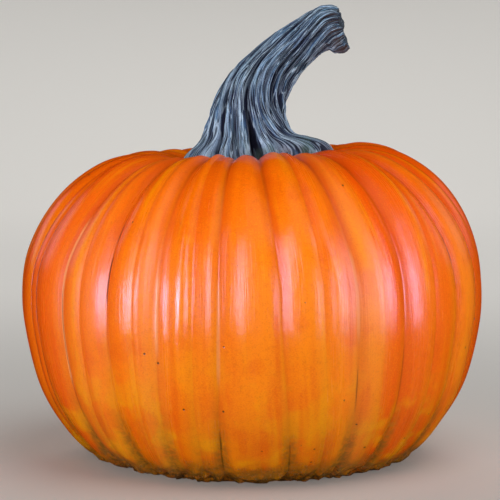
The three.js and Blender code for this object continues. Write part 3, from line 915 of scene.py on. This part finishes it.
#   name: operation, masks
PAIRS = {
    "foot_hair": ("MULTIPLY", "pale_hair", "spread"),
    "foot_gap": ("MULTIPLY", "dark_hair", "spread"),
    "mossy": ("MULTIPLY", "near_feet", "weathered"),
    # the knob's underside: painted shade, brown as with orange light thrown back from the fruit
    "knob_underside_shade": ("MULTIPLY", "at_knob", "underneath"),
    "pith": ("MULTIPLY", "cut_end", "pale_pith"),
}
masks = soft_masks(tree, value, SOFT_STEPS)
pair_up(tree, masks, PAIRS)
print(len(masks), "masks")

# %% [markdown]
# The ground colour follows the height on the ridge, from nearly black in the valleys to slate on
# the crests; the black in the valleys is partly painted shade. The strands, the weathering, the
# cut end and painted shade in the valleys, between the cords and under the knob are layers over
# it, as on the rind.

# %% Stem: colours and relief
# Nearly black in the valleys: partly the stem's own colour, partly painted shade.
#   height on the ridge, colour
GROUND = [(0, "#050509"), (0.3, "#0c101e"), (0.56, "#1a2844"), (0.8, "#345274"), (1, "#6286a8")]
colour = add(tree, "ValToRGB", [value["ridge_height"]], stops=GROUND)
#   mask, how much of it shows, colour
LAYERS = [
    # the layers between the cords and fibres and in the valleys are painted shade
    ("between_cords_shade", 0.6, "#10152a"), ("weathered", 0.5, "#3e5c5c"), ("dusty", 0.5, "#30346c"),
    ("between_fibres_shade", 0.7, "#0e101d"), ("pale_fibre", 0.4, "#7690a2"), ("dark_gap", 0.8, "#0a0b16"),
    ("pale_strand", 0.7, "#a0bcd6"), ("pale_thread", 0.75, "#c4dcec"),
    ("valley_shade", 0.65, "#141834"), ("foot_gap", 0.7, "#10131f"), ("foot_hair", 0.7, "#96aaba"),
    # painted shade under the knob, brown as with orange light thrown back from the fruit
    ("spotted", 0.4, "#10121e"), ("mossy", 0.6, "#567468"), ("knob_underside_shade", 0.8, "#46342c"),
    ("cut_end", 0.8, "#3e4650"), ("pith", 0.6, "#6a7278"),
]
feed(tree, layered(tree, colour, masks, LAYERS), shader.inputs["Base Color"])
shader.inputs["IOR"].default_value = 1.5
shader.inputs["Specular IOR Level"].default_value = 0.4
rough = add(tree, "Math", [masks["pale_strand"], -0.2, 0.85], operation="MULTIPLY_ADD")
feed(tree, rough, shader.inputs["Roughness"])
RELIEF = [("pale_strand", 0.5), ("dark_gap", -0.6), ("pale_thread", 0.25), ("grain", 0.5)]
feed(tree, raised(tree, masks, RELIEF), shader.inputs["Normal"])
stem.data.materials.append(cork)
print("stem:", len(tree.nodes), "nodes")

# %% [markdown]
# ## The studio
#
# A pale paper sweep goes all the way round, so that every view has the same plain ground: a wide
# disc with a wall, and a bevel that bends one softly into the other. It is matte, and belongs to
# the stage, not to the pumpkin. It doesn't show in the wax, so the rind keeps its full colour
# down to the foot. It glows a little, and more further out, in place of the light of the
# softboxes, which doesn't reach it.

# %% A round paper sweep
SWEEP_OUT, SWEEP_UP, SWEEP_BEND, SWEEP_STEPS = 4200, 2200, 2000, 96  # mm, and steps round it

sweep_shell = spun([(0, 0), (SWEEP_OUT, 0), (SWEEP_OUT, SWEEP_UP)], SWEEP_STEPS)
corner = [e for e in sweep_shell.edges if all(v.co.z < 0.01 and v.co.length > 4 for v in e.verts)]
bmesh.ops.bevel(
    sweep_shell, geom=corner, offset=SWEEP_BEND * MM, segments=20, profile=0.5, affect="EDGES",
    material=-1,
)
bmesh.ops.recalc_face_normals(sweep_shell, faces=sweep_shell.faces)
bmesh.ops.reverse_faces(sweep_shell, faces=sweep_shell.faces)
for face in sweep_shell.faces:
    face.smooth = True
floor = as_piece(sweep_shell, "paper_sweep")
print("sweep:", len(floor.data.polygons), "faces")

# %% Matte paper that glows a little, more so further out
paper, tree, shader = new_material("matte_paper")
shader.inputs["Base Color"].default_value = linear("#cac7c2")
shader.inputs["Roughness"].default_value = 0.95
shader.inputs["Specular IOR Level"].default_value = 0.1
here = add(tree, "TexCoord").outputs["Object"]
away = add(tree, "VectorMath", [here], operation="LENGTH").outputs["Value"]
inputs = {"Value": away, "From Min": 0.15, "From Max": 1.1, "To Min": 0.13, "To Max": 0.34}
glow = add(tree, "MapRange", inputs, interpolation_type="SMOOTHSTEP")
shader.inputs["Emission Color"].default_value = linear("#f4f2ee")
feed(tree, glow, shader.inputs["Emission Strength"])
floor.data.materials.append(paper)
floor.visible_glossy = False
floor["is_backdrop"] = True
print("paper:", len(tree.nodes), "nodes")

# %% [markdown]
# Four narrow softboxes stand low round the front, level with the belly, so every rib catches an
# upright highlight. Dim tall panels above three of them let the highlights fade out towards the
# shoulder, and a weak panel behind each flank marks the edge of the fruit. In a studio grids keep
# such light off the floor. Here it is linked to the fruit and the stem alone. A large soft light
# over the right shoulder, one far behind and a pale sky fill in the rest. Those show nowhere as
# highlights, which would haze the shoulders.

# %% Lights
AIM_UP = 0.13  # metres: a lamp points at the axis level with itself, but no higher than this
GRIDDED, OPEN = 90, 180  # degrees that a lamp's light spreads over

studio = bpy.context.scene
#   name, direction, distance, height, width, tall (m), watts, shows as a highlight
SOFTBOXES = [
    ("left_softbox", -55, 0.85, 0.14, 0.17, 0.5, 0.85, True),
    ("left_panel", -56, 0.85, 0.56, 0.16, 0.54, 0.15, True),
    ("near_softbox", -8, 0.85, 0.18, 0.18, 0.52, 0.41, True),
    ("near_panel", -8, 0.85, 0.58, 0.2, 0.54, 0.37, True),
    ("front_right_softbox", 38, 0.85, 0.19, 0.14, 0.5, 0.2, True),
    ("right_softbox", 67, 0.85, 0.19, 0.17, 0.52, 0.5, True),
    ("right_panel", 66, 0.85, 0.6, 0.18, 0.54, 0.22, True),
    ("left_edge_panel", -126, 1, 0.45, 0.5, 0.5, 0.1, True),
    ("right_edge_panel", 126, 1, 0.45, 0.5, 0.5, 0.06, True),
    ("back_softbox", 180, 2.9, 1.7, 1.8, 1.2, 17, False),
    ("overhead_softbox", 42, 0.85, 1.85, 1.6, 1.6, 14, False),
]
lit = bpy.data.collections.new("lit_by_softboxes")
lit.objects.link(fruit)
lit.objects.link(stem)
for name, toward, distance, up_m, width, tall, watts, shows in SOFTBOXES:
    lamp = bpy.data.lights.new(name, "AREA")
    lamp.shape, lamp.size, lamp.size_y, lamp.energy = "ELLIPSE", width, tall, watts
    lamp.color = linear("#eef0ff" if shows else "#ffffff")[:3]
    lamp.spread = math.radians(GRIDDED if shows else OPEN)
    stand = bpy.data.objects.new(name, lamp)
    bearing = math.radians(toward)
    stand.location = (distance * math.sin(bearing), -distance * math.cos(bearing), up_m)
    aim = Vector((0, 0, min(up_m, AIM_UP))) - stand.location
    stand.rotation_euler = aim.to_track_quat("-Z", "Y").to_euler()
    stand.visible_camera = False
    stand.visible_glossy = shows
    if shows:
        stand.light_linking.receiver_collection = lit
    studio.collection.objects.link(stand)
print(len(SOFTBOXES), "softboxes")

# %% Pale sky
sky = bpy.data.worlds.new("pale_sky")
sky.use_nodes = True
background = sky.node_tree.nodes["Background"]
background.inputs["Color"].default_value = linear("#f4f4f6")
background.inputs["Strength"].default_value = 0.1
sky.cycles_visibility.glossy = False
studio.world = sky
studio.view_settings.view_transform = "Standard"
print("sky strength:", round(background.inputs["Strength"].default_value, 2))

# %% [markdown]
# The camera stands 1.4 m in front, a little above the shoulder, with a long lens that keeps the
# ribs' shapes true.

# %% Camera
lens = bpy.data.cameras.new("camera")
lens.lens, lens.sensor_width = 153, 36
camera = bpy.data.objects.new("camera", lens)
camera.location = (0, -1.4, 0.267)
looks_at = Vector((-0.0013, 0, 0.1365))
camera.rotation_euler = (looks_at - camera.location).to_track_quat("-Z", "Y").to_euler()
studio.collection.objects.link(camera)
studio.camera = camera
print("camera:", [round(c, 3) for c in camera.location])

# %% [markdown]
# Last, the finished model's box is printed.

# %% The finished model's size
low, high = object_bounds()
print("visual box, mm:", [round(side / MM, 1) for side in high - low])
